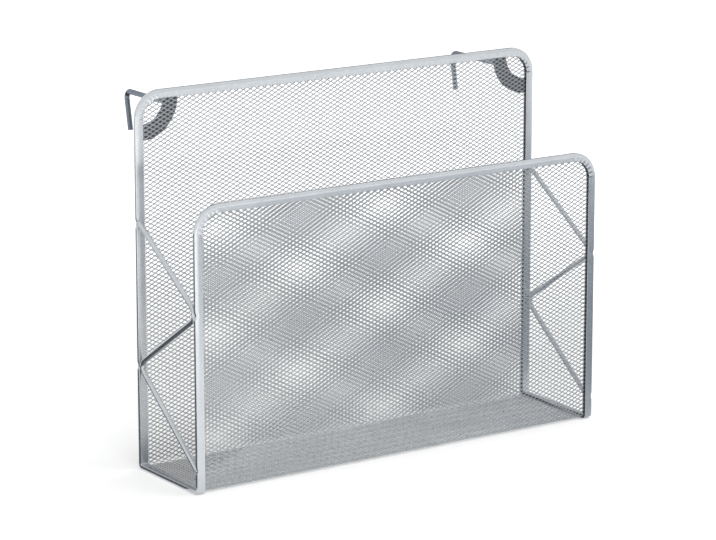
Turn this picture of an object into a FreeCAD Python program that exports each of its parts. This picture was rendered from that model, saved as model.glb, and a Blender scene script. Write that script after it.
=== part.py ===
import FreeCAD, Part
import Sketcher
import math
import os

# Wall magazine holder: a folded sheet of diamond mesh with a channel rim crimped round its edge,
# a zigzag wire on each side, and two wire hooks on corner plates behind the rear panel.
# X runs along the width, Y towards the wall, Z up. The origin lies on the back face of the rear
# rim's top rail, halfway across.

doc = FreeCAD.newDocument("wall_magazine_holder")
sheet = doc.addObject("Spreadsheet::Sheet", "sizes")

SIZES = [
    ("holder_width", 360.0),    # outer edge to outer edge of the legs
    ("holder_depth", 84.0),     # back of the rear rim to front of the front rim
    ("rear_height", 283.0),     # base to the top of the rear rim
    ("front_height", 213.0),    # base to the top of the front rim
    ("corner_radius", 21.0),    # outer radius of the rims' top corners
    ("fold_inner", 0.8),        # inner radius of the rim at the two bottom folds
    ("rim_face", 6.5),          # width of the channel rim across its face
    ("rim_lip", 1.2),           # thickness of each lip of the channel
    ("rim_grip", 4.0),          # depth of the channel's slot
    ("rim_edge", 0.7),          # broken outer edges of the channel
    ("edge_gap", 0.5),          # slot bottom to the edge of the mesh
    ("mesh_gauge", 1.0),        # thickness of the mesh sheet
    ("diamond_length", 46.5),   # long way of a diamond, along X
    ("diamond_height", 24.4),   # short way of a diamond
    ("strand_width", 4.5),      # width of the strands between the diamonds
    ("side_wire", 3.8),         # diameter of the zigzag wires
    ("side_bend", 6.5),         # bend radius of the zigzag wires, on their axis
    ("zigzag_top", 186.0),      # height of the upper end, on the rear leg
    ("zigzag_front", 133.0),    # height of the bend on the front leg
    ("zigzag_rear", 79.0),      # height of the bend on the rear leg
    ("zigzag_low", 18.0),       # height of the lower end, on the front leg
    ("weld_gap", 0.1),          # zigzag wire to the faces of the legs
    ("plate_setback", 4.0),     # rim's inner corner arc to the corner plate
    ("plate_band", 12.0),       # width of the corner plate's ring
    ("hook_wire", 4.0),         # diameter of the hooks
    ("hook_below", 5.2),        # lower edge of the top rail to the hook's axis
    ("hook_reach", 61.5),       # back face to the furthest point of the hook's axis
    ("hook_drop", 29.0),        # hook's axis to its tip
    ("hook_lean", 11.0),        # degrees that the hook's leg leans to the panel
    ("hook_bend", 5.0),         # bend radius of the hook, on its axis
]


class Size:
    """A length together with the sheet expression that gives it."""

    def __init__(self, value, text):
        self.value = float(value)
        self.text = text

    def __add__(self, other):
        other = as_size(other)
        return Size(self.value + other.value, "(%s + %s)" % (self.text, other.text))

    def __sub__(self, other):
        other = as_size(other)
        return Size(self.value - other.value, "(%s - %s)" % (self.text, other.text))

    def __mul__(self, factor):
        return Size(self.value * factor, "(%s * %s)" % (self.text, factor))

    def __neg__(self):
        return Size(-self.value, "(0 - %s)" % self.text)


def as_size(number):
    if isinstance(number, Size):
        return number
    return Size(number, repr(float(number)))


for row, (alias, number) in enumerate(SIZES, start=1):
    sheet.set("A%d" % row, alias)
    sheet.set("B%d" % row, str(number))
    sheet.setAlias("B%d" % row, alias)
doc.recompute()


def size(alias):
    return Size(getattr(sheet, alias), "sizes." + alias)


width = size("holder_width")
depth = size("holder_depth")
rear_height = size("rear_height")
front_height = size("front_height")
corner = size("corner_radius")
face = size("rim_face")
grip = size("rim_grip")
gauge = size("mesh_gauge")
lip = size("rim_lip")

# The rim's lips close on both faces of the sheet, so its depth is the sheet and two lips.
rim_depth = gauge + lip * 2
half_rim = rim_depth * 0.5
half_width = width * 0.5
fold = size("fold_inner") + half_rim
seam = half_rim + fold                          # height where the legs pass into the folds
front_shift = rim_depth - depth                 # from the rear panel to the front panel
front_axis = half_rim - depth                   # middle of the front rim, in Y
window = face                                   # rim's outer edge to the open mesh
sheet_edge = face - grip + size("edge_gap")     # rim's outer edge to the sheet's edge
base_level = face * 0.5 - rear_height           # base under the origin

bodies = []


def keep(part, name):
    part.Label = name
    bodies.append(part)
    return part


def new_body(name, shift=None):
    """An empty body whose own zero level is the holder's base."""
    body = doc.addObject("PartDesign::Body", name)
    body.setExpression("Placement.Base.z", base_level.text)
    if shift is not None:
        body.setExpression("Placement.Base.y", shift.text)
    return keep(body, name)


def mirrored(source, name):
    """The right-hand twin of a left-hand piece."""
    twin = doc.addObject("Part::Mirroring", name)
    twin.Source = source
    twin.Normal = FreeCAD.Vector(1, 0, 0)
    return keep(twin, name)


def new_sketch(body, name, role, offset=None):
    """A sketch on one of the body's origin planes, moved along the plane's normal by offset."""
    planes = [plane for plane in body.Origin.OriginFeatures if plane.Role == role]
    sketch = body.newObject("Sketcher::SketchObject", name)
    sketch.AttachmentSupport = [(planes[0], "")]
    sketch.MapMode = "FlatFace"
    if offset is not None:
        sketch.setExpression("AttachmentOffset.Base.z", offset.text)
    return sketch


def vector(point):
    return FreeCAD.Vector(as_size(point[0]).value, as_size(point[1]).value, 0)


def bind(sketch, kind, references, length):
    """A dimension of the sketch that follows the sheet."""
    index = sketch.addConstraint(Sketcher.Constraint(kind, *references, length.value))
    sketch.setExpression("Constraints[%d]" % index, length.text)


def pin_one(sketch, kind, geometry, vertex, length):
    """Holds one coordinate of a vertex at its distance from the sketch's origin."""
    length = as_size(length)
    if abs(length.value) < 1e-9:
        axis = -2 if kind == "DistanceX" else -1
        sketch.addConstraint(Sketcher.Constraint("PointOnObject", geometry, vertex, axis))
    elif length.value > 0:
        bind(sketch, kind, (-1, 1, geometry, vertex), length)
    else:
        bind(sketch, kind, (geometry, vertex, -1, 1), -length)


def pin(sketch, geometry, vertex, point):
    pin_one(sketch, "DistanceX", geometry, vertex, point[0])
    pin_one(sketch, "DistanceY", geometry, vertex, point[1])


def turns_left(start, middle, stop):
    return (middle - start).cross(stop - start).z > 0


def left_arc(start, middle, stop):
    """Arc through three points, always drawn anticlockwise as sketches keep it."""
    if turns_left(start, middle, stop):
        return Part.Arc(start, middle, stop)
    return Part.Arc(stop, middle, start)


def draw(sketch, points, bulges, closed):
    """A chain of lines and arcs through points. A bulge gives an arc's middle point and its centre
    as (middle, "DistanceX" or "DistanceY", coordinate of the centre), by the number of its span."""
    spans = len(points) if closed else len(points) - 1
    ends = []
    for span in range(spans):
        start = vector(points[span])
        stop = vector(points[(span + 1) % len(points)])
        if span in bulges:
            middle = vector(bulges[span][0])
            forward = turns_left(start, middle, stop)
            index = sketch.addGeometry(left_arc(start, middle, stop), False)
            ends.append((index, 1, 2) if forward else (index, 2, 1))
        else:
            index = sketch.addGeometry(Part.LineSegment(start, stop), False)
            ends.append((index, 1, 2))
    for span in range(spans if closed else spans - 1):
        index, _, last = ends[span]
        follower, first, _ = ends[(span + 1) % spans]
        sketch.addConstraint(Sketcher.Constraint("Coincident", index, last, follower, first))
    for span in range(spans):
        pin(sketch, ends[span][0], ends[span][1], points[span])
    if not closed:
        pin(sketch, ends[-1][0], ends[-1][2], points[-1])
    for span, (_, kind, centre) in bulges.items():
        pin_one(sketch, kind, ends[span][0], 3, centre)


def arc_middle(centre, radius, degrees):
    """The point of a circle at an angle, for the drawing of an arc."""
    turn = math.radians(degrees)
    x = as_size(centre[0]).value + radius.value * math.cos(turn)
    y = as_size(centre[1]).value + radius.value * math.sin(turn)
    return (x, y)


def draw_channel(body, name):
    """Section of the rim at the left leg: broken outer edges and a slot open to the inside."""
    sketch = new_sketch(body, name, "XY_Plane", seam)
    edge = size("rim_edge")
    outer = -half_width
    inner = outer + face
    bottom = inner - grip
    points = [
        (outer + edge, 0),
        (outer, -edge),
        (outer, edge - rim_depth),
        (outer + edge, -rim_depth),
        (inner, -rim_depth),
        (inner, -(lip + gauge)),
        (bottom, -(lip + gauge)),
        (bottom, -lip),
        (inner, -lip),
        (inner, 0),
    ]
    draw(sketch, points, {}, True)
    return sketch


def sweep(body, name, profile, path):
    pipe = body.newObject("PartDesign::AdditivePipe", name)
    pipe.Profile = profile
    pipe.Spine = (path, [])
    body.Tip = pipe
    doc.recompute()
    return pipe


def make_arch(name, height, shift):
    """Inverted U of rim round one panel, from seam to seam."""
    body = new_body(name, shift)
    profile = draw_channel(body, name + "_section")
    path = new_sketch(body, name + "_path", "XZ_Plane", half_rim)
    shoulder = height - corner
    turn = half_width - corner
    points = [
        (-half_width, seam),
        (-half_width, shoulder),
        (-turn, height),
        (turn, height),
        (half_width, shoulder),
        (half_width, seam),
    ]
    bulges = {
        1: (arc_middle((-turn, shoulder), corner, 135), "DistanceX", -turn),
        3: (arc_middle((turn, shoulder), corner, 45), "DistanceX", turn),
    }
    draw(path, points, bulges, False)
    sweep(body, name + "_sweep", profile, path)
    return body


def make_base_rim(name):
    """Rim of the left bottom edge, with the two folds up into the legs."""
    body = new_body(name)
    profile = draw_channel(body, name + "_section")
    path = new_sketch(body, name + "_path", "YZ_Plane", -half_width)
    rear_centre = -(half_rim + fold)
    front_centre = front_axis + fold
    points = [
        (-half_rim, seam),
        (rear_centre, half_rim),
        (front_centre, half_rim),
        (front_axis, seam),
    ]
    bulges = {
        0: (arc_middle((rear_centre, seam), fold, -45), "DistanceX", rear_centre),
        2: (arc_middle((front_centre, seam), fold, 225), "DistanceX", front_centre),
    }
    draw(path, points, bulges, False)
    sweep(body, name + "_sweep", profile, path)
    return body


def arch_wire(half, low, high, radius):
    """Closed outline of a panel: square below, rounded at the two top corners."""
    shoulder = high - radius
    turn = half - radius
    diagonal = radius * math.sqrt(0.5)
    lines = [
        ((-turn, high), (turn, high)),
        ((half, shoulder), (half, low)),
        ((half, low), (-half, low)),
        ((-half, low), (-half, shoulder)),
    ]
    edges = []
    for start, stop in lines:
        segment = Part.LineSegment(FreeCAD.Vector(*start, 0), FreeCAD.Vector(*stop, 0))
        edges.append(segment.toShape())
    for side in (-1, 1):
        rise = FreeCAD.Vector(side * half, shoulder, 0)
        through = FreeCAD.Vector(side * (turn + diagonal), shoulder + diagonal, 0)
        over = FreeCAD.Vector(side * turn, high, 0)
        edges.append(Part.Arc(rise, through, over).toShape())
    return Part.Wire(Part.__sortEdges__(edges))


def box_wire(half, low, high):
    corners = [(-half, low), (half, low), (half, high), (-half, high), (-half, low)]
    return Part.makePolygon([FreeCAD.Vector(x, y, 0) for x, y in corners])


def net_plate(outline, opening):
    """Sheet with the given outline, with diamonds cut through it inside the opening."""
    long_way = size("diamond_length").value
    short_way = size("diamond_height").value
    across = long_way * short_way / math.hypot(long_way, short_way)
    share = 1 - size("strand_width").value / across
    half_long = long_way * share / 2
    half_short = short_way * share / 2
    clear = Part.Face(opening)
    bounds = opening.BoundBox
    whole = 2 * half_long * half_short
    sliver = 0.1 * whole
    columns = int(bounds.XMax / long_way) + 2
    rows = int(bounds.YLength / short_way * 2) + 3
    gaps = []
    for row in range(rows):
        level = bounds.YMin + row * short_way / 2
        offset = (row % 2) * long_way / 2
        for column in range(-columns, columns + 1):
            centre = column * long_way + offset
            corners = [
                (centre - half_long, level),
                (centre, level - half_short),
                (centre + half_long, level),
                (centre, level + half_short),
                (centre - half_long, level),
            ]
            diamond = Part.Face(Part.makePolygon([FreeCAD.Vector(x, y, 0) for x, y in corners]))
            for gap in diamond.common(clear).Faces:
                if gap.Area > sliver:
                    gaps.append(gap.OuterWire)
    plate = Part.Face([outline] + gaps)
    plate.validate()
    return plate.extrude(FreeCAD.Vector(0, 0, gauge.value)), len(gaps)


def make_panel_mesh(name, height, shift):
    """Flat mesh of one panel. It stands on a fold and its other edges sit in the rim's slot."""
    edge = sheet_edge.value
    half = half_width.value
    outline = arch_wire(half - edge, seam.value, height.value - edge, corner.value - edge)
    inset = window.value
    margin = size("strand_width").value / 2
    low = seam.value + margin
    opening = arch_wire(half - inset, low, height.value - inset, corner.value - inset)
    plate, count = net_plate(outline, opening)
    plate.rotate(FreeCAD.Vector(0, 0, 0), FreeCAD.Vector(1, 0, 0), 90)
    part = doc.addObject("Part::Feature", name)
    part.Shape = plate
    level = -lip.value + shift
    part.Placement = FreeCAD.Placement(
        FreeCAD.Vector(0, level, base_level.value), part.Placement.Rotation
    )
    print("%s: %d diamonds" % (name, count))
    return keep(part, name)


def make_bottom_mesh(name):
    """Flat mesh of the bottom with the two plain quarter-round folds."""
    half = half_width.value - sheet_edge.value
    inset = half_width.value - window.value
    rear_centre = -(half_rim.value + fold.value)
    front_centre = front_axis.value + fold.value
    margin = size("strand_width").value / 2
    outline = box_wire(half, front_centre, rear_centre)
    opening = box_wire(inset, front_centre + margin, rear_centre - margin)
    plate, count = net_plate(outline, opening)
    plate.translate(FreeCAD.Vector(0, 0, lip.value))
    pieces = [plate]
    outer = fold.value + gauge.value / 2
    inner = fold.value - gauge.value / 2
    for centre, start in ((rear_centre, 270), (front_centre, 180)):
        tube = Part.makeCylinder(
            outer, 2 * half, FreeCAD.Vector(-half, centre, seam.value), FreeCAD.Vector(1, 0, 0)
        )
        hollow = Part.makeCylinder(
            inner, 2 * half, FreeCAD.Vector(-half, centre, seam.value), FreeCAD.Vector(1, 0, 0)
        )
        quarter = Part.makeBox(
            2 * half,
            outer,
            outer,
            FreeCAD.Vector(-half, centre if start == 270 else centre - outer, seam.value - outer),
        )
        pieces.append(tube.cut(hollow).common(quarter))
    part = doc.addObject("Part::Feature", name)
    part.Shape = pieces[0].fuse(pieces[1:]).removeSplitter()
    part.Placement = FreeCAD.Placement(
        FreeCAD.Vector(0, 0, base_level.value), part.Placement.Rotation
    )
    print("%s: %d diamonds" % (name, count))
    return keep(part, name)


def heading(angle):
    return FreeCAD.Vector(math.cos(angle), math.sin(angle), 0)


def left_of(angle):
    return FreeCAD.Vector(-math.sin(angle), math.cos(angle), 0)


def bearing(start, stop):
    return math.atan2(stop.y - start.y, stop.x - start.x)


def arc_about(centre, radius, start, stop):
    """Arc from start to stop, the short way round its centre."""
    middle = (start + stop) * 0.5 - centre
    middle.normalize()
    return left_arc(start, centre + middle * radius, stop)


def make_zigzag(name):
    """Left side wire between the legs: three straight runs, two bends and square-cut ends.
    The bends and the ends lie against the front of the rear leg and the back of the front leg."""
    body = new_body(name)
    wire = size("side_wire")
    bend = size("side_bend")
    half_wire = wire * 0.5
    path = new_sketch(body, name + "_path", "YZ_Plane", half_wire - half_width)
    rear_seat = -(rim_depth + size("weld_gap"))
    front_seat = rim_depth + size("weld_gap") - depth
    top = size("zigzag_top")
    low = size("zigzag_low")
    front = (front_seat + half_wire + bend, size("zigzag_front"))
    rear = (rear_seat - half_wire - bend, size("zigzag_rear"))
    front_centre = vector(front)
    rear_centre = vector(rear)
    radius = bend.value
    # Bearings of the runs, tangent to the two bends. A cut end's corner reaches its seat, so the
    # end of the axis stands off by the wire's radius times the sine of the run's slope.
    first = vector((rear_seat, top))
    last = vector((front_seat, low))
    for _ in range(30):
        down = bearing(first, front_centre)
        down -= math.asin(radius / first.distanceToPoint(front_centre))
        away = bearing(rear_centre, last)
        away -= math.asin(radius / rear_centre.distanceToPoint(last))
        first.x = rear_seat.value - half_wire.value * abs(math.sin(down))
        last.x = front_seat.value + half_wire.value * abs(math.sin(away))
    back = bearing(front_centre, rear_centre)
    back += math.asin(2 * radius / front_centre.distanceToPoint(rear_centre))
    into_front = front_centre - left_of(down) * radius
    out_of_front = front_centre - left_of(back) * radius
    into_rear = rear_centre + left_of(back) * radius
    out_of_rear = rear_centre + left_of(away) * radius
    path.addGeometry(Part.LineSegment(first, into_front), False)
    path.addGeometry(arc_about(front_centre, radius, into_front, out_of_front), False)
    path.addGeometry(Part.LineSegment(out_of_front, into_rear), False)
    path.addGeometry(arc_about(rear_centre, radius, into_rear, out_of_rear), False)
    path.addGeometry(Part.LineSegment(out_of_rear, last), False)
    pin(path, 1, 3, front)
    pin(path, 3, 3, rear)
    bind(path, "Radius", (1,), bend)
    bind(path, "Radius", (3,), bend)
    join_tangent(path, 0, 2, 1)
    join_tangent(path, 2, 1, 1)
    join_tangent(path, 2, 2, 3)
    join_tangent(path, 4, 1, 3)
    pin_one(path, "DistanceY", 0, 1, top)
    pin_one(path, "DistanceY", 4, 2, low)
    seat_end(path, 0, 1, left_of(down), half_wire, rear_seat)
    seat_end(path, 4, 2, left_of(away) * -1, half_wire, front_seat)
    make_wire(body, name, path, wire)
    return body


def seat_end(sketch, line, vertex, outward, half_wire, seat):
    """Brings the corner of a square-cut wire end to its seat, by a help line along the cut."""
    end = sketch.getPoint(line, vertex)
    cut = sketch.addGeometry(Part.LineSegment(end, end + outward * half_wire.value), True)
    sketch.addConstraint(Sketcher.Constraint("Coincident", line, vertex, cut, 1))
    sketch.addConstraint(Sketcher.Constraint("Perpendicular", line, cut))
    bind(sketch, "Distance", (cut,), half_wire)
    pin_one(sketch, "DistanceX", cut, 2, seat)


def join_tangent(sketch, line, vertex, arc):
    """Joins a line's end to the nearer end of an arc, tangent to it."""
    point = sketch.getPoint(line, vertex)
    near = 1 if sketch.getPoint(arc, 1).distanceToPoint(point) < 1e-4 else 2
    sketch.addConstraint(Sketcher.Constraint("Tangent", line, vertex, arc, near))


def make_wire(body, name, path, diameter):
    """Round wire along the whole of a path."""
    profile = body.newObject("Sketcher::SketchObject", name + "_section")
    profile.AttachmentSupport = [(path, "Edge1")]
    profile.MapMode = "NormalToEdge"
    profile.addGeometry(Part.Circle(FreeCAD.Vector(0, 0, 0), FreeCAD.Vector(0, 0, 1), diameter.value / 2))
    profile.addConstraint(Sketcher.Constraint("Coincident", 0, 3, -1, 1))
    bind(profile, "Diameter", (0,), diameter)
    doc.recompute()
    pipe = sweep(body, name + "_sweep", profile, path)
    expected = path.Shape.Length * math.pi * diameter.value ** 2 / 4
    print("%s: volume %.1f, section times length %.1f" % (name, pipe.Shape.Volume, expected))


def make_corner_plate(name):
    """Left quarter ring on the back of the mesh, its ends against the rim's lip."""
    body = new_body(name)
    sketch = new_sketch(body, name + "_outline", "XZ_Plane")
    inner = corner - face + size("plate_setback")
    outer = inner + size("plate_band")
    side = face - half_width
    top = rear_height - face
    points = [
        (side + inner, top),
        (side + outer, top),
        (side, top - outer),
        (side, top - inner),
    ]
    bulges = {
        1: (arc_middle((side, top), outer, -45), "DistanceX", side),
        3: (arc_middle((side, top), inner, -45), "DistanceX", side),
    }
    draw(sketch, points, bulges, True)
    pad = body.newObject("PartDesign::Pad", name + "_pad")
    pad.Profile = sketch
    pad.setExpression("Length", lip.text)
    body.Tip = pad
    doc.recompute()
    return body


def make_hook(name):
    """Left hook: straight back from the corner plate, then down, leaning to the panel."""
    body = new_body(name)
    wire = size("hook_wire")
    bend = size("hook_bend")
    reach = size("hook_reach")
    lean = size("hook_lean")
    level = rear_height - face - size("hook_below")
    ring_middle = corner - face + size("plate_setback") + size("plate_band") * 0.5
    path = new_sketch(body, name + "_path", "YZ_Plane", face + ring_middle - half_width)
    tip_level = level - size("hook_drop")
    turn = -math.radians(90 + lean.value)
    radius = bend.value
    root = vector((0, level))
    into_bend = vector((reach - bend, level))
    centre = vector((reach - bend, level - bend))
    out_of_bend = centre + left_of(turn) * radius
    length = (out_of_bend.y - tip_level.value) / math.cos(math.radians(lean.value))
    tip = out_of_bend + heading(turn) * length
    path.addGeometry(Part.LineSegment(root, into_bend), False)
    path.addGeometry(arc_about(centre, radius, into_bend, out_of_bend), False)
    path.addGeometry(Part.LineSegment(out_of_bend, tip), False)
    pin(path, 0, 1, (0, level))
    path.addConstraint(Sketcher.Constraint("Horizontal", 0))
    join_tangent(path, 0, 2, 1)
    join_tangent(path, 2, 1, 1)
    bind(path, "Radius", (1,), bend)
    pin_one(path, "DistanceX", 1, 3, reach - bend)
    pin_one(path, "DistanceY", 2, 2, tip_level)
    index = path.addConstraint(Sketcher.Constraint("Angle", 2, turn))
    path.setExpression("Constraints[%d]" % index, "-(90 + %s) * 1 deg" % lean.text)
    make_wire(body, name, path, wire)
    return body


rear_shift = Size(0, "0")
make_arch("rear_rim", rear_height, rear_shift)
make_arch("front_rim", front_height, front_shift)
mirrored(make_base_rim("left_base_rim"), "right_base_rim")
make_panel_mesh("rear_mesh", rear_height, rear_shift.value)
make_panel_mesh("front_mesh", front_height, front_shift.value)
make_bottom_mesh("bottom_mesh")
mirrored(make_zigzag("left_zigzag"), "right_zigzag")
mirrored(make_corner_plate("left_corner_plate"), "right_corner_plate")
mirrored(make_hook("left_hook"), "right_hook")
doc.recompute()

for item in doc.Objects:
    if "Invalid" in item.State or "Error" in item.State:
        raise RuntimeError("failed object: %s %s" % (item.Name, item.State))
for part in bodies:
    if part.Shape.isNull() or not part.Shape.isValid():
        raise RuntimeError("bad shape: " + part.Label)
    if len(part.Shape.Solids) != 1:
        raise RuntimeError("not one solid: " + part.Label)

os.makedirs("parts", exist_ok=True)
for part in bodies:
    part.Shape.exportStep("parts/%s.step" % part.Label)
    box = part.Shape.BoundBox
    print("%-18s %9.1f mm3  x %.2f %.2f  y %.2f %.2f  z %.2f %.2f" % (
        part.Label, part.Shape.Volume, box.XMin, box.XMax, box.YMin, box.YMax, box.ZMin, box.ZMax))
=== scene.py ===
import math

import bpy
import numpy as np
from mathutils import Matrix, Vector


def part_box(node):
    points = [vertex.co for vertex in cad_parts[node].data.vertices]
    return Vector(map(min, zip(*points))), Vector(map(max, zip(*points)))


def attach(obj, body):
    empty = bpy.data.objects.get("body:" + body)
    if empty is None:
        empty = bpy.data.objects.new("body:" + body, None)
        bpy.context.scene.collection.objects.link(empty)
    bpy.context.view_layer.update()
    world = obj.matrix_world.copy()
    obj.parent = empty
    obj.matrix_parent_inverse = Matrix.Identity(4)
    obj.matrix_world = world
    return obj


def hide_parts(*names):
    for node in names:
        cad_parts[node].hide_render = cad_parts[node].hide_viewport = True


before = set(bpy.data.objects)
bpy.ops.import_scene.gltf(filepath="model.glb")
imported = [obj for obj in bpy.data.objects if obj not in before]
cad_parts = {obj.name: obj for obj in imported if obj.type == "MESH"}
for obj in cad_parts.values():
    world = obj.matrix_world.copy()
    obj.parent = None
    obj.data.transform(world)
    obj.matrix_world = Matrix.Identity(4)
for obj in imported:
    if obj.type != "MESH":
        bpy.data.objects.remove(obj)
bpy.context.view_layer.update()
MM = 0.001
QUARTER = math.pi / 2
RIGHT = np.array((1.0, 0.0, 0.0))
BACK = np.array((0.0, 1.0, 0.0))
UP = np.array((0.0, 0.0, 1.0))

# Places and sizes that the frame gives, in metres.
rear_low, rear_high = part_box("rear_rim")
front_low, front_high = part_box("front_rim")
base_low, base_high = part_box("left_base_rim")
HALF_WIDTH = rear_high.x
REAR_TOP = rear_high.z
FRONT_TOP = front_high.z
BASE = base_low.z
RIM_DEPTH = rear_high.y - rear_low.y
RIM_FACE = base_high.x - base_low.x
REAR_MIDDLE = (rear_low.y + rear_high.y) / 2
FRONT_MIDDLE = (front_low.y + front_high.y) / 2
SEAM = base_high.z
FOLD = SEAM - BASE - RIM_DEPTH / 2
SHEET_EDGE = HALF_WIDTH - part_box("rear_mesh")[1].x
OBJECT_MIDDLE = (0.0, (REAR_MIDDLE + FRONT_MIDDLE) / 2, (REAR_TOP + BASE) / 2)

# Sizes and places that the boxes don't show. The welds' heights count from the base, and the
# hooks' height from the frame's origin.
CORNER = 21 * MM
REAR_WELDS = (186 * MM, 79 * MM)
FRONT_WELDS = (18 * MM, 133 * MM)
HOOK_HEIGHT = -8.45 * MM


def smooth_step(low, high, value):
    """A share that goes smoothly from 0 to 1 as the value goes from low to high."""
    t = np.clip((value - low) / (high - low), 0, 1)
    return t * t * (3 - 2 * t)


def add_mesh(name, points, faces, smooth):
    """A new object with one mesh of these points and faces."""
    mesh = bpy.data.meshes.new(name)
    mesh.from_pydata(np.asarray(points).tolist(), [], faces)
    mesh.validate()
    mesh.polygons.foreach_set("use_smooth", [smooth] * len(mesh.polygons))
    piece = bpy.data.objects.new(name, mesh)
    bpy.context.scene.collection.objects.link(piece)
    return piece


# The folded sheet. A point of it is given by x, by the way s along the fold line from the rear
# panel's top edge, down, under and up to the front panel's top edge, and by its depth.
SHEET_TOP = REAR_TOP - SHEET_EDGE
FRONT_SHEET_TOP = FRONT_TOP - SHEET_EDGE
REAR_RUN = SHEET_TOP - SEAM
ARC_RUN = FOLD * QUARTER
BOTTOM_RUN = REAR_MIDDLE - FRONT_MIDDLE - 2 * FOLD
FRONT_RUN = FRONT_SHEET_TOP - SEAM
SHEET_RUN = REAR_RUN + 2 * ARC_RUN + BOTTOM_RUN + FRONT_RUN

# The mesh: pitch of its holes, width and depth of its strands, and how far these lean along s.
DIAMOND_LONG = 6.2 * MM
DIAMOND_SHORT = 3.25 * MM
STRAND = 0.56 * MM
STRAND_DEPTH = 0.36 * MM
STRAND_TILT = 0.2 * MM

# A hole gets its strands if one of its tips lies no further than this under the rim.
UNDER_RIM = 0.2 * MM
# Faces that drawing in to the sheet's edge leaves smaller than this are left out.
LEAST_AREA = 0.02 * MM * MM
# Rows of holes beyond a piece's own, where the strands at its ends have their other sides.
SPARE_ROWS = 2
# How far the texture map shifts the sheet's inner side across and along it.
MAP_SLANT = (0.7 * MM, 0.4 * MM)
NO_LENGTH = 1e-9


def on_sheet(x, s, depth):
    """Points of the folded sheet. Depth counts from its middle to its outer side."""
    bottom = BASE + RIM_DEPTH / 2
    rear_fold = REAR_MIDDLE - FOLD
    front_fold = FRONT_MIDDLE + FOLD
    ends = np.cumsum([REAR_RUN, ARC_RUN, BOTTOM_RUN, ARC_RUN])
    first_turn = -(s - ends[0]) / FOLD
    second_turn = -(QUARTER + (s - ends[2]) / FOLD)
    where = [s < ends[0], s < ends[1], s < ends[2], s < ends[3]]
    y = np.select(
        where,
        [
            REAR_MIDDLE + depth,
            rear_fold + (FOLD + depth) * np.cos(first_turn),
            rear_fold - (s - ends[1]),
            front_fold + (FOLD + depth) * np.cos(second_turn),
        ],
        FRONT_MIDDLE - depth,
    )
    z = np.select(
        where,
        [
            SHEET_TOP - s,
            SEAM + (FOLD + depth) * np.sin(first_turn),
            bottom - depth,
            SEAM + (FOLD + depth) * np.sin(second_turn),
        ],
        SEAM + (s - ends[3]),
    )
    return np.stack([x, y, z], -1)


def inside_outline(x, s, inset):
    """How far points lie inside the holder's outline, drawn in by inset. Negative is outside."""
    half = HALF_WIDTH - inset
    margin = inset - SHEET_EDGE
    radius = CORNER - inset
    across = half - np.abs(x)
    along = np.minimum(s - margin, SHEET_RUN - margin - s)
    in_corner = (across < radius) & (along < radius)
    round_gap = radius - np.hypot(radius - across, radius - along)
    return np.where(in_corner, round_gap, np.minimum(across, along))


def drawn_in(x, s):
    """Points beyond the sheet's outline, moved back to it. The rim's slot hides that edge."""
    half = HALF_WIDTH - SHEET_EDGE
    x = np.clip(x, -half, half)
    s = np.clip(s, 0, SHEET_RUN)
    radius = CORNER - SHEET_EDGE
    side = np.sign(x)
    dx = np.abs(x) - (half - radius)
    ds = radius - np.minimum(s, SHEET_RUN - s)
    reach = np.hypot(dx, ds)
    outside = (dx > 0) & (ds > 0) & (reach > radius)
    pull = np.where(outside, radius / np.maximum(reach, NO_LENGTH), 1.0)
    x = np.where(outside, side * (half - radius + dx * pull), x)
    upper = s < SHEET_RUN / 2
    pulled = radius - ds * pull
    s = np.where(outside, np.where(upper, pulled, SHEET_RUN - pulled), s)
    return x, s


def hole_tips(row_numbers, column_numbers):
    """Ways across and along the sheet of each hole's left, upper, right and lower tips."""
    rows, columns = np.meshgrid(row_numbers, column_numbers, indexing="ij")
    centre_x = (columns + (rows % 2) / 2) * DIAMOND_LONG
    centre_s = rows * DIAMOND_SHORT / 2
    across = DIAMOND_LONG * DIAMOND_SHORT / math.hypot(DIAMOND_LONG, DIAMOND_SHORT)
    share = 1 - STRAND / across
    half_long = DIAMOND_LONG * share / 2
    half_short = DIAMOND_SHORT * share / 2
    tip_x = np.stack([centre_x - half_long, centre_x, centre_x + half_long, centre_x], -1)
    tip_s = np.stack([centre_s, centre_s - half_short, centre_s, centre_s + half_short], -1)
    return tip_x, tip_s


def strand_faces(first_row, last_row, shown, tips):
    """Faces between the holes, as the numbers of the tips at their corners: the strands at each
    hole's lower right and lower left, and the bond between it and the next one on its right."""
    left, upper, right, lower = range(4)
    here = np.arange(1, shown.shape[1] - 2)
    beside = here + 1
    faces = []
    for r, row in enumerate(range(first_row, last_row), SPARE_ROWS):
        above, below = r - 1, r + 1
        next_right = here + row % 2
        next_left = next_right - 1
        strand = np.stack([
            tips[r, here, right], tips[r, here, lower],
            tips[below, next_right, left], tips[below, next_right, upper],
        ], -1)
        faces.append(strand[shown[r, here] | shown[below, next_right]])
        strand = np.stack([
            tips[r, here, lower], tips[r, here, left],
            tips[below, next_left, upper], tips[below, next_left, right],
        ], -1)
        faces.append(strand[shown[r, here] | shown[below, next_left]])
        bond = np.stack([
            tips[r, here, right], tips[below, next_right, upper],
            tips[r, beside, left], tips[above, next_right, lower],
        ], -1)
        in_row = shown[r, here] | shown[r, beside]
        faces.append(bond[in_row | shown[above, next_right] | shown[below, next_right]])
    return np.concatenate(faces)


def face_areas(x, s):
    """Areas of faces on the flat sheet, with a face's corners in one row."""
    return np.abs((x * np.roll(s, -1, 1) - np.roll(x, -1, 1) * s).sum(1)) / 2


def border_edges(faces):
    """Edges that only one face has, as pairs of point numbers."""
    edges = np.stack([faces, np.roll(faces, -1, 1)], -1).reshape(-1, 2)
    keys = np.sort(edges, 1)
    _, inverse, counts = np.unique(keys, axis=0, return_inverse=True, return_counts=True)
    return edges[counts[inverse.ravel()] == 1]


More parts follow.
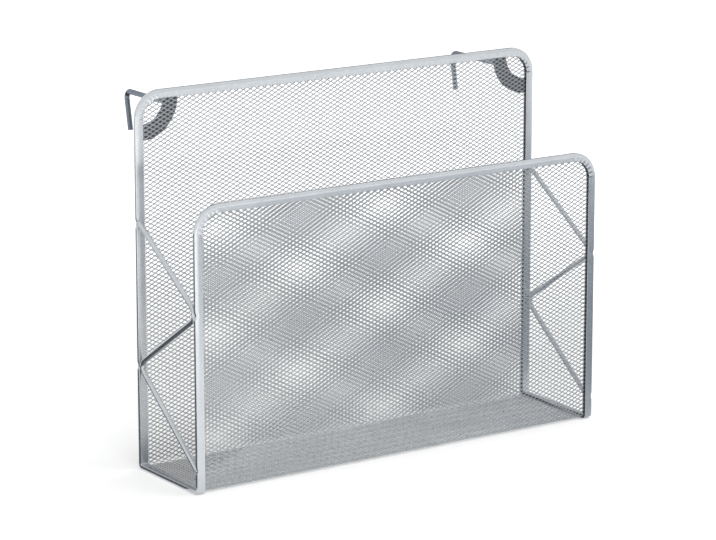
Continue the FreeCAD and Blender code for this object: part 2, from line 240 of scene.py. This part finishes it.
def mesh_piece(name, first_row, last_row):
    """Expanded mesh at its real pitch between two rows of holes, as one closed mesh."""
    columns = int(HALF_WIDTH / DIAMOND_LONG) + 2
    row_numbers = np.arange(first_row - SPARE_ROWS, last_row + SPARE_ROWS + 1)
    tip_x, tip_s = hole_tips(row_numbers, np.arange(-columns, columns + 1))
    shown = (inside_outline(tip_x, tip_s, RIM_FACE) > -UNDER_RIM).any(-1)
    tips = np.arange(tip_x.size).reshape(tip_x.shape)
    skin = strand_faces(first_row, last_row, shown, tips)

    x, s = drawn_in(tip_x.ravel(), tip_s.ravel())
    skin = skin[face_areas(x[skin], s[skin]) > LEAST_AREA]
    used, skin = np.unique(skin, return_inverse=True)
    skin = skin.reshape(-1, 4)
    x, s = x[used], s[used]

    outer = on_sheet(x, s - STRAND_TILT / 2, np.full_like(x, STRAND_DEPTH / 2))
    inner = on_sheet(x, s + STRAND_TILT / 2, np.full_like(x, -STRAND_DEPTH / 2))
    count = len(x)
    start, stop = border_edges(skin).T
    walls = np.stack([stop, start, start + count, stop + count], -1)
    faces = np.concatenate([skin, skin[:, ::-1] + count, walls])
    piece = add_mesh(name, np.concatenate([outer, inner]), faces.tolist(), False)
    slant_x, slant_s = MAP_SLANT
    add_flat_map(piece.data, np.concatenate([x, x + slant_x]), np.concatenate([s, s + slant_s]))
    return piece


def add_flat_map(mesh, u, v):
    """A texture map of the unfolded sheet, seen at a slant so that the walls have width too."""
    corners = np.zeros(len(mesh.loops), np.int32)
    mesh.loops.foreach_get("vertex_index", corners)
    low = np.array([u.min(), v.min()])
    span = max(np.ptp(u), np.ptp(v))
    places = (np.stack([u, v], -1)[corners] - low) / span
    layer = mesh.uv_layers.new(name="OFBake")
    layer.uv.foreach_set("vector", places.astype(np.float32).ravel())


def make_sheet():
    """The whole folded sheet in three pieces, cut in the flat of the panels just off the folds."""
    half_pitch = DIAMOND_SHORT / 2
    rear_end = int(REAR_RUN / half_pitch) - 1
    front_start = int((REAR_RUN + 2 * ARC_RUN + BOTTOM_RUN) / half_pitch) + 2
    stop = int(SHEET_RUN / half_pitch) + 1
    spans = {
        "rear_mesh": (-1, rear_end),
        "bottom_mesh": (rear_end, front_start),
        "front_mesh": (front_start, stop),
    }
    pieces = []
    for node, (first, last) in spans.items():
        piece = mesh_piece(node + "_fine", first, last)
        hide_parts(node)
        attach(piece, "root")
        pieces.append(piece)
    return pieces


# The rim's section: the slot for the sheet, the rounded web and lips, and how far the face falls
# off to its outer edge.
SLOT_WIDTH = 1.0 * MM
SLOT_BOTTOM = 2.5 * MM
WEB_ROUND = 0.45 * MM
LIP_ROUND = 0.2 * MM
CROWN = 0.45 * MM
WEB_STEPS = 7
FACE_STEPS = 13
LIP_STEPS = 5
# A point below this share of the lip's rounding belongs to the cut edge, which gets the painted shade.
ROUND_END = 0.99
SHARP = math.radians(50)

# The puckers of the crimped lips at the corners, and the dents at the welds. The reaches are the
# ways inward from the rim's outer edge between which a pucker grows and a dent fades.
PUCKERS = 7
PUCKER_RISE = 0.4 * MM
PUCKER_PULL = 0.25 * MM
PUCKER_WIDTH = math.radians(2.8)
PUCKER_REACH = (2.6 * MM, 5.6 * MM)
DENT_DEPTH = 0.8 * MM
DENT_LENGTH = 2.0 * MM
DENT_REACH = (1.2 * MM, 3.6 * MM)
DENT_STEPS = 6
CORNER_STEPS = 61
FOLD_STEPS = 13


# The rim is one channel strip round the sheet's whole edge. A station of it has the outer edge's
# place, the directions into the sheet and to the sheet's outer side, and its pucker and dent.
def station(place, inward, outward, pucker=0.0, dent=0.0):
    return np.array(place), np.array(inward), np.array(outward), pucker, dent


def pucker_at(share):
    """How much the crimped lip stands out at a share of the corner's turn, both from 0 to 1."""
    spread = PUCKER_WIDTH / QUARTER
    rises = [(k + 0.5) / PUCKERS for k in range(PUCKERS)]
    return max(math.exp(-(((share - rise) / spread) ** 2)) for rise in rises)


def corner_stations(middle, top, outward, angles):
    """A quarter turn at a top left corner, with the puckers of the crimped lips."""
    centre = np.array((-(HALF_WIDTH - CORNER), middle, top - CORNER))
    found = []
    for angle in angles:
        ray = math.cos(angle) * RIGHT + math.sin(angle) * UP
        share = (angle - QUARTER) / QUARTER
        found.append(station(centre + CORNER * ray, -ray, outward, pucker_at(share)))
    return found


def leg_stations(middle, top, outward, welds):
    """A straight left leg, from its corner down to the fold, dented where a wire is welded."""
    heights = {top - CORNER, SEAM}
    for weld in welds:
        for step in range(-DENT_STEPS, DENT_STEPS + 1):
            heights.add(BASE + weld + step * DENT_LENGTH / 2)
    found = []
    for height in sorted(heights, reverse=True):
        if height < SEAM:
            continue
        dent = sum(math.exp(-(((height - BASE - weld) / DENT_LENGTH) ** 2)) for weld in welds)
        found.append(station((-HALF_WIDTH, middle, height), RIGHT, outward, 0.0, dent))
    return found


def fold_stations(centre_y, start, stop):
    """A quarter turn at the left end of a bottom fold."""
    found = []
    for angle in np.linspace(start, stop, FOLD_STEPS):
        outward = math.cos(angle) * BACK + math.sin(angle) * UP
        place = np.array((-HALF_WIDTH, centre_y, SEAM)) + FOLD * outward
        found.append(station(place, RIGHT, outward))
    return found


def rim_stations():
    """Stations of the left half from the middle of the rear rail to the middle of the front rail,
    then their mirror images back to the start."""
    corner_angles = np.linspace(QUARTER, 2 * QUARTER, CORNER_STEPS)
    half = [station((0, REAR_MIDDLE, REAR_TOP), -UP, BACK)]
    half += corner_stations(REAR_MIDDLE, REAR_TOP, BACK, corner_angles)
    half += leg_stations(REAR_MIDDLE, REAR_TOP, BACK, REAR_WELDS)[1:-1]
    half += fold_stations(REAR_MIDDLE - FOLD, 0, -QUARTER)
    half += fold_stations(FRONT_MIDDLE + FOLD, -QUARTER, -2 * QUARTER)
    half += leg_stations(FRONT_MIDDLE, FRONT_TOP, -BACK, FRONT_WELDS)[::-1][1:-1]
    half += corner_stations(FRONT_MIDDLE, FRONT_TOP, -BACK, corner_angles[::-1])
    half += [station((0, FRONT_MIDDLE, FRONT_TOP), -UP, -BACK)]
    flip = np.array((-1.0, 1.0, 1.0))
    other = [(p * flip, i * flip, o * flip, w, d) for p, i, o, w, d in half[-2:0:-1]]
    return half + other


def arc_points(centre, radius, start, stop, steps):
    """Points of an arc between two angles in degrees."""
    angles = np.linspace(math.radians(start), math.radians(stop), steps)
    return [(centre[0] + radius * math.cos(a), centre[1] + radius * math.sin(a)) for a in angles]


def rim_section():
    """The channel's section as ways inward and outward: from its web over the face and round the
    lip to the bottom of its slot, and the mirror image of that back to the web."""
    half = RIM_DEPTH / 2
    inner = SLOT_WIDTH / 2
    middle = RIM_FACE / 2
    lean = math.degrees(math.atan(2 * CROWN / middle))
    ways = np.linspace(WEB_ROUND, RIM_FACE - LIP_ROUND, FACE_STEPS)
    face = [(way, half - CROWN * max(0.0, 1 - way / middle) ** 2) for way in ways]
    web_centre = (WEB_ROUND, face[0][1] - WEB_ROUND)
    web = arc_points(web_centre, WEB_ROUND, 180, 90 + lean, WEB_STEPS)
    lip_centre = (RIM_FACE - LIP_ROUND, face[-1][1] - LIP_ROUND)
    lip = arc_points(lip_centre, LIP_ROUND, 90, 0, LIP_STEPS)
    slot = [(RIM_FACE, inner + LIP_ROUND / 2), (RIM_FACE - LIP_ROUND / 2, inner)]
    slot += [(SLOT_BOTTOM, inner)]
    upper = web + face + lip + slot
    lower = [(way, -out) for way, out in reversed(upper)]
    return np.array(upper + lower)


def make_rim():
    """The whole rim in one piece, swept through its stations."""
    section = rim_section()
    way, out = section[:, 0], section[:, 1]
    lip_share = smooth_step(*PUCKER_REACH, way)
    edge_share = 1 - smooth_step(*DENT_REACH, way)
    points = []
    stations = rim_stations()
    for place, inward, outward, pucker, dent in stations:
        ways = way + DENT_DEPTH * dent * edge_share - PUCKER_PULL * pucker * lip_share
        outs = out + np.sign(out) * PUCKER_RISE * pucker * lip_share
        points.append(place + ways[:, None] * inward + outs[:, None] * outward)
    around = len(section)
    base = np.arange(len(stations) * around).reshape(len(stations), around)
    ahead = np.roll(base, -1, 0)
    faces = np.stack([base, np.roll(base, -1, 1), np.roll(ahead, -1, 1), ahead], -1)
    faces = faces.reshape(-1, 4).tolist()
    piece = add_mesh("rim_channel", np.concatenate(points), faces, True)
    piece.data.set_sharp_from_angle(angle=SHARP)
    # The cut edges of the lips and the slot behind them have the second material: near-black paint, a
    # painted shade that stands in for the shadow gap and the dark reflections along the lips.
    in_slot = (np.abs(out) < RIM_DEPTH / 2 - ROUND_END * LIP_ROUND) & (way > SLOT_BOTTOM / 2)
    painted_shade_faces = in_slot & np.roll(in_slot, -1)
    choice = np.tile(painted_shade_faces, len(stations)).astype(np.int32)
    piece.data.polygons.foreach_set("material_index", choice)
    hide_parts("rear_rim", "front_rim", "left_base_rim", "right_base_rim")
    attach(piece, "root")
    return piece


# The welds. Beads have half lengths, half widths and half heights as shares of the wire's
# thickness, apart from an end bead's height, which is a share of its length. They lie in from the
# rim's outer edge by the inset, an end bead also moves along its run by a share of its half
# length, and the seeds shift the waves in their skins.
BEAD_TURNS = 20
BEAD_RINGS = 12
BEAD_WAVES = (0.07, 0.05)
BEAD_INSET = 0.45
END_LENGTH, END_WIDTH, END_HEIGHT = 0.7, 0.4, 0.6
END_SHIFT = 0.25
END_SEED = 1.3
BEND_LENGTH, BEND_WIDTH, BEND_HEIGHT = 0.75, 0.34, 0.28
BEND_SEED = 2.1
# The direction of a side wire's end runs, back and up.
WIRE_RUN = np.array((0.0, 0.83, 0.557))
# The section of a hook's weld: shares of the wire's radius, and heights over the plate.
COLLAR = [(0.9, 0.0), (0.95, 0.9 * MM), (1.12, 0.55 * MM), (1.32, 0.22 * MM), (1.55, 0.0)]
COLLAR_SEAT = 0.95
COLLAR_TURNS = 32
COLLAR_WAVES = (0.06, 0.04)
COLLAR_SEED = 0.8


def lump(centre, along, across, beside, seed):
    """A rough bead: an ellipsoid on three half axes, with shallow waves in its skin."""
    points = [centre - along]
    for ring in range(1, BEAD_RINGS):
        rise = math.pi * (ring / BEAD_RINGS - 0.5)
        for turn in range(BEAD_TURNS):
            angle = 2 * math.pi * turn / BEAD_TURNS
            wave = 1 + BEAD_WAVES[0] * math.sin(3 * angle + seed) * math.cos(2 * rise + seed)
            wave += BEAD_WAVES[1] * math.sin(5 * angle - 2 * seed) * math.cos(3 * rise)
            flat = math.cos(rise) * wave
            ray = math.cos(angle) * across + math.sin(angle) * beside
            points.append(centre + (math.sin(rise) * along + flat * ray))
    points.append(centre + along)
    last = len(points) - 1
    faces = []
    for turn in range(BEAD_TURNS):
        ahead = (turn + 1) % BEAD_TURNS
        faces.append((0, 1 + ahead, 1 + turn))
        for ring in range(BEAD_RINGS - 2):
            low, high = 1 + ring * BEAD_TURNS, 1 + (ring + 1) * BEAD_TURNS
            faces.append((low + turn, low + ahead, high + ahead, high + turn))
        top = 1 + (BEAD_RINGS - 2) * BEAD_TURNS
        faces.append((top + turn, top + ahead, last))
    return points, faces


def collar(centre, radius, seed):
    """The weld round a hook's root: a flared ring with an uneven edge."""
    points, faces = [], []
    for turn in range(COLLAR_TURNS):
        angle = 2 * math.pi * turn / COLLAR_TURNS
        ray = math.cos(angle) * RIGHT + math.sin(angle) * UP
        wave = 1 + COLLAR_WAVES[0] * math.sin(3 * angle + seed)
        wave += COLLAR_WAVES[1] * math.sin(7 * angle - seed)
        for share, height in COLLAR:
            stretch = 1 + (share - COLLAR_SEAT) * wave if share > 1 else share
            points.append(centre + radius * stretch * ray + height * BACK)
    rows = len(COLLAR)
    for turn in range(COLLAR_TURNS):
        here, ahead = turn * rows, (turn + 1) % COLLAR_TURNS * rows
        for row in range(rows):
            above = (row + 1) % rows
            faces.append((here + row, here + above, ahead + above, ahead + row))
    return points, faces


def join_parts(parts):
    """The points and faces of several parts as those of one."""
    points, faces = [], []
    for part_points, part_faces in parts:
        faces += [tuple(corner + len(points) for corner in face) for face in part_faces]
        points += part_points
    return points, faces


def weld_piece(name, points, faces, slot):
    """A weld as a smooth piece of its own."""
    piece = add_mesh(name, points, faces, True)
    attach(piece, "root")
    return piece


def make_welds(side, sign):
    """Beads that hold one zigzag wire to its legs, and the weld at the root of one hook."""
    wire_low, wire_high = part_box(side + "zigzag")
    wire = wire_high.x - wire_low.x
    seam_x = sign * (HALF_WIDTH - BEAD_INSET * wire)
    ends = [(wire_high.y, REAR_WELDS[0], 1), (wire_low.y, FRONT_WELDS[0], -1)]
    parts = []
    for face, height, way in ends:
        run = way * WIRE_RUN * END_LENGTH * wire
        spot = np.array((seam_x, face, BASE + height)) + END_SHIFT * run
        beside = np.cross(run, RIGHT) * END_HEIGHT
        parts.append(lump(spot, run, END_WIDTH * wire * RIGHT, beside, END_SEED + way))
    bends = [(rear_low.y, REAR_WELDS[1]), (front_high.y, FRONT_WELDS[1])]
    for face, height in bends:
        spot = np.array((seam_x, face, BASE + height))
        along, across = BEND_LENGTH * wire * UP, BEND_WIDTH * wire * RIGHT
        parts.append(lump(spot, along, across, BEND_HEIGHT * wire * BACK, BEND_SEED + height))
    side_welds = weld_piece(side + "side_welds", *join_parts(parts), "wire")
    hook_low, hook_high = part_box(side + "hook")
    root = np.array(((hook_low.x + hook_high.x) / 2, hook_low.y, HOOK_HEIGHT))
    radius = (hook_high.x - hook_low.x) / 2
    ring = collar(root, radius, COLLAR_SEED * sign)
    hook_weld = weld_piece(side + "hook_weld", *ring, "hook")
    return side_welds, hook_weld


# Metallic paint. The scales of its noise are per metre.
FLAKE_SCALE = 2600
FLAKE_SPREAD = 0.015
CLOUD_SCALE = 45
CLOUD_LOW = 0.92
GLOSS_SCALE = 300
GLOSS_SPREAD = 0.03
PEEL_SCALE = 1100
PEEL_DEPTH = 0.1 * MM
PLAIN_DETAIL, FINE_DETAIL = 2.0, 3.0
RAMP_START, RAMP_END = 0.3, 0.7
COOL = (0.94, 0.985, 1.03)
DARK_COOL = (0.9, 0.98, 1.1)
HOOK_COOL = (0.84, 0.97, 1.16)


def new_material(name):
    """A material with one principled shader."""
    material = bpy.data.materials.new(name)
    material.use_nodes = True
    nodes = material.node_tree.nodes
    nodes.clear()
    shader = nodes.new("ShaderNodeBsdfPrincipled")
    output = nodes.new("ShaderNodeOutputMaterial")
    material.node_tree.links.new(shader.outputs["BSDF"], output.inputs["Surface"])
    return material, shader


def noise_of(material, scale, detail=PLAIN_DETAIL):
    """Noise that stays with the object."""
    nodes, links = material.node_tree.nodes, material.node_tree.links
    place = nodes.new("ShaderNodeTexCoord")
    noise = nodes.new("ShaderNodeTexNoise")
    noise.inputs["Scale"].default_value = scale
    noise.inputs["Detail"].default_value = detail
    links.new(place.outputs["Object"], noise.inputs["Vector"])
    return noise.outputs["Fac"]


def ramp_of(material, value, low, high):
    """A colour or grey that goes from low to high over the ramp's part of the value."""
    nodes, links = material.node_tree.nodes, material.node_tree.links
    ramp = nodes.new("ShaderNodeValToRGB")
    ramp.color_ramp.elements[0].position = RAMP_START
    ramp.color_ramp.elements[1].position = RAMP_END
    ramp.color_ramp.elements[0].color = low
    ramp.color_ramp.elements[1].color = high
    links.new(value, ramp.inputs["Fac"])
    return ramp.outputs["Color"]


def grey(level, tint=(1.0, 1.0, 1.0)):
    """A grey, or a tinted grey, as a colour with alpha."""
    return (level * tint[0], level * tint[1], level * tint[2], 1.0)


def metallic_paint(name, level, metal, rough, tint, peel=0.0, spread=FLAKE_SPREAD):
    """Metallic paint: fine flakes, cloudy tone, uneven gloss and, where it shows, orange peel."""
    material, shader = new_material(name)
    links, nodes = material.node_tree.links, material.node_tree.nodes
    shader.inputs["Metallic"].default_value = metal
    dark, light = grey(level - spread, tint), grey(level + spread, tint)
    flakes = ramp_of(material, noise_of(material, FLAKE_SCALE), dark, light)
    cloud_noise = noise_of(material, CLOUD_SCALE, FINE_DETAIL)
    clouds = ramp_of(material, cloud_noise, grey(CLOUD_LOW), grey(1.0))
    mix = nodes.new("ShaderNodeMix")
    mix.data_type = "RGBA"
    mix.blend_type = "MULTIPLY"
    mix.inputs["Factor"].default_value = 1.0
    links.new(flakes, mix.inputs["A"])
    links.new(clouds, mix.inputs["B"])
    links.new(mix.outputs["Result"], shader.inputs["Base Color"])
    glossy, dull = grey(rough - GLOSS_SPREAD), grey(rough + GLOSS_SPREAD)
    gloss = ramp_of(material, noise_of(material, GLOSS_SCALE, FINE_DETAIL), glossy, dull)
    links.new(gloss, shader.inputs["Roughness"])
    if peel:
        bump = nodes.new("ShaderNodeBump")
        bump.inputs["Strength"].default_value = peel
        bump.inputs["Distance"].default_value = PEEL_DEPTH
        links.new(noise_of(material, PEEL_SCALE), bump.inputs["Height"])
        links.new(bump.outputs["Normal"], shader.inputs["Normal"])
    return material


def paint(piece, *materials):
    """The materials of a piece. Without the faces' own choice, all have the first."""
    kept = np.zeros(len(piece.data.polygons), np.int32)
    piece.data.polygons.foreach_get("material_index", kept)
    piece.data.materials.clear()
    for material in materials:
        piece.data.materials.append(material)
    choice = np.minimum(kept, len(materials) - 1)
    piece.data.polygons.foreach_set("material_index", choice)


silver = metallic_paint("silver_paint", level=0.64, metal=0.9, rough=0.24, tint=COOL, peel=0.01)
# Painted shade: the near-black paint of the rim's cut edges and slot, standing in for the shadow gap
# along the lips.
rim_slot_painted_shade = metallic_paint("slot_painted_shade", level=0.08, metal=0.6, rough=0.4, tint=DARK_COOL)
mesh_silver = metallic_paint("mesh_paint", level=0.47, metal=0.75, rough=0.3, tint=COOL, spread=0.03)
wire_silver = metallic_paint("wire_paint", level=0.6, metal=0.9, rough=0.18, tint=COOL, peel=0.01)
plate_grey = metallic_paint("plate_paint", level=0.09, metal=0.7, rough=0.34, tint=DARK_COOL, peel=0.06)
hook_grey = metallic_paint("hook_paint", level=0.22, metal=0.9, rough=0.2, tint=HOOK_COOL, peel=0.02)

for sheet_piece in make_sheet():
    paint(sheet_piece, mesh_silver)
paint(make_rim(), silver, rim_slot_painted_shade)
for side, sign in (("left_", -1), ("right_", 1)):
    paint(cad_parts[side + "zigzag"], wire_silver)
    paint(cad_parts[side + "corner_plate"], plate_grey)
    paint(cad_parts[side + "hook"], hook_grey)
    side_welds, hook_weld = make_welds(side, sign)
    paint(side_welds, wire_silver)
    paint(hook_weld, hook_grey)


# The stage. The floor's glow is given as two pairs of a distance from the point under the frame's
# origin and a strength. The fill is the room's light on the object, where 1 is the white it shows.
FLOOR_REACH = 6.0
FLOOR_GREY = 0.8
FLOOR_ROUGHNESS = 0.9
GLOW_NEAR = (0.25, 0.25)
GLOW_FAR = (0.9, 0.8)
FILL = 0.3

# The dim cloths: how bright they are, and their corners as ways to the right and back from the
# frame's origin and heights over the floor.
CLOTH_GREY = 0.02
CLOTH_TINT = (0.84, 0.97, 1.13)
CLOTH_FADE = 0.22
LOW = 1 * MM
CLOTHS = {
    "left_cloth": {
        "level": 0.05,
        "corners": [(-0.36, -0.19, LOW), (-0.01, 0.05, LOW), (-0.85, 1.3, LOW), (-1.2, 1.06, LOW)],
    },
    "floor_cloth": {
        "level": 0.35,
        "corners": [(-0.16, 0.0, LOW), (0.3, 0.0, LOW), (1.3, 1.3, LOW), (0.3, 1.3, LOW)],
    },
    "rear_cloth": {
        "level": 0.04,
        "corners": [(-0.1, 0.86, 0.3), (1.3, 0.72, 0.3), (1.3, 0.72, 0.8), (-0.1, 0.86, 0.8)],
    },
    "right_cloth": {
        "level": 0.3,
        "corners": [(0.04, -0.05, LOW), (1.1, -0.05, LOW), (1.1, -1.0, LOW), (0.04, -1.0, LOW)],
    },
}
LAMPS = {
    "key": {"place": (-0.7, -1.2, 0.7), "size": 1.2, "power": 16},
    "top": {"place": (0.6, -0.1, 1.9), "size": 1.4, "power": 32},
}

# The camera, from straight edges fitted in the photograph.
LENS = 163.67
CAMERA_PLACE = (-1.34573, -2.00214, 0.42619)
CAMERA_AIM = (0.54699, 0.80390, -0.23355)


def direct_sight(nodes, links):
    """1 for a ray from the camera, a gloss or a clear thing, and 0 for any other."""
    path = nodes.new("ShaderNodeLightPath")
    seen = path.outputs["Is Camera Ray"]
    for other in ("Is Glossy Ray", "Is Transmission Ray"):
        either = nodes.new("ShaderNodeMath")
        either.operation = "MAXIMUM"
        links.new(seen, either.inputs[0])
        links.new(path.outputs[other], either.inputs[1])
        seen = either.outputs["Value"]
    return seen


def make_floor():
    """White floor that keeps the object's shadow. It glows more with the distance, so that it
    stays white where the lamps don't reach."""
    corners = [(-FLOOR_REACH, -FLOOR_REACH, BASE), (FLOOR_REACH, -FLOOR_REACH, BASE)]
    corners += [(FLOOR_REACH, FLOOR_REACH, BASE), (-FLOOR_REACH, FLOOR_REACH, BASE)]
    floor = add_mesh("floor", corners, [(0, 1, 2, 3)], False)
    material, shader = new_material("floor_white")
    nodes, links = material.node_tree.nodes, material.node_tree.links
    shader.inputs["Base Color"].default_value = grey(FLOOR_GREY)
    shader.inputs["Roughness"].default_value = FLOOR_ROUGHNESS
    shader.inputs["Specular IOR Level"].default_value = 0.0
    shader.inputs["Emission Color"].default_value = grey(1.0)
    place = nodes.new("ShaderNodeNewGeometry")
    reach = nodes.new("ShaderNodeVectorMath")
    reach.operation = "DISTANCE"
    reach.inputs[1].default_value = (0.0, 0.0, BASE)
    links.new(place.outputs["Position"], reach.inputs[0])
    fade = nodes.new("ShaderNodeMapRange")
    fade.interpolation_type = "SMOOTHSTEP"
    fade.inputs["From Min"].default_value = GLOW_NEAR[0]
    fade.inputs["From Max"].default_value = GLOW_FAR[0]
    fade.inputs["To Min"].default_value = GLOW_NEAR[1]
    fade.inputs["To Max"].default_value = GLOW_FAR[1]
    links.new(reach.outputs["Value"], fade.inputs["Value"])
    glow = nodes.new("ShaderNodeMath")
    glow.operation = "MULTIPLY"
    links.new(fade.outputs["Result"], glow.inputs[0])
    links.new(direct_sight(nodes, links), glow.inputs[1])
    links.new(glow.outputs["Value"], shader.inputs["Emission Strength"])
    paint(floor, material)


def make_world():
    """White room, which fills the shadows with less light than it shows."""
    world = bpy.data.worlds.new("studio")
    bpy.context.scene.world = world
    world.use_nodes = True
    nodes, links = world.node_tree.nodes, world.node_tree.links
    nodes.clear()
    level = nodes.new("ShaderNodeMapRange")
    level.inputs["To Min"].default_value = FILL
    level.inputs["To Max"].default_value = 1.0
    links.new(direct_sight(nodes, links), level.inputs["Value"])
    room = nodes.new("ShaderNodeBackground")
    room.inputs["Color"].default_value = grey(1.0)
    links.new(level.outputs["Result"], room.inputs["Strength"])
    output = nodes.new("ShaderNodeOutputWorld")
    links.new(room.outputs["Background"], output.inputs["Surface"])


def cloth_grid(corners, level):
    """Points, colours and faces of a cloth. Its first edge is as dim as its middle, and the other
    three fade to the white of the room."""
    near_left, near_right, far_right, far_left = (np.array(corner) for corner in corners)
    ways_across = (0.0, CLOTH_FADE, 1 - CLOTH_FADE, 1.0)
    ways_back = (0.0, 1 - CLOTH_FADE, 1.0)
    points, glows, faces = [], [], []
    for back in ways_back:
        left = near_left + back * (far_left - near_left)
        right = near_right + back * (far_right - near_right)
        for across in ways_across:
            points.append(left + across * (right - left) + BASE * UP)
            faded = back == 1 or across in (0, 1)
            glows.append(grey(1.0) if faded else grey(level, CLOTH_TINT))
    row = len(ways_across)
    for back in range(len(ways_back) - 1):
        for across in range(row - 1):
            corner = back * row + across
            faces.append((corner, corner + 1, corner + row + 1, corner + row))
    return points, glows, faces


def add_cloth(name, corners, level):
    """Dim cloth of the studio that shows only in reflections, as dark edges on the metal."""
    points, glows, faces = cloth_grid(corners, level)
    cloth = add_mesh(name, points, faces, False)
    glow = cloth.data.color_attributes.new("glow", "FLOAT_COLOR", "POINT")
    glow.data.foreach_set("color", np.array(glows, np.float32).ravel())
    cloth.visible_camera = False
    cloth.visible_diffuse = False
    cloth.visible_shadow = False
    material, shader = new_material(name)
    shader.inputs["Base Color"].default_value = grey(CLOTH_GREY)
    shader.inputs["Specular IOR Level"].default_value = 0.0
    shader.inputs["Emission Strength"].default_value = 1.0
    tone = material.node_tree.nodes.new("ShaderNodeAttribute")
    tone.attribute_name = "glow"
    material.node_tree.links.new(tone.outputs["Color"], shader.inputs["Emission Color"])
    paint(cloth, material)


def aim(thing, direction):
    """Turns a lamp or a camera, whose sight is along its own -Z axis, to a direction."""
    thing.rotation_euler = Vector(direction).to_track_quat("-Z", "Y").to_euler()


def add_lamp(name, place, size, power):
    """Square soft lamp. Metal mirrors the white room and not the lamp, which would glare."""
    data = bpy.data.lights.new(name, "AREA")
    data.shape = "SQUARE"
    data.size = size
    data.energy = power
    lamp = bpy.data.objects.new(name, data)
    bpy.context.scene.collection.objects.link(lamp)
    lamp.location = place
    lamp.visible_glossy = False
    aim(lamp, Vector(OBJECT_MIDDLE) - Vector(place))


def make_camera():
    """Camera at the photograph's place and angle."""
    data = bpy.data.cameras.new("camera")
    data.lens = LENS
    camera = bpy.data.objects.new("camera", data)
    bpy.context.scene.collection.objects.link(camera)
    camera.location = CAMERA_PLACE
    aim(camera, CAMERA_AIM)
    bpy.context.scene.camera = camera


make_floor()
make_world()
for name, cloth in CLOTHS.items():
    add_cloth(name, **cloth)
for name, lamp in LAMPS.items():
    add_lamp(name, **lamp)
make_camera()
bpy.context.scene.view_settings.view_transform = "Standard"
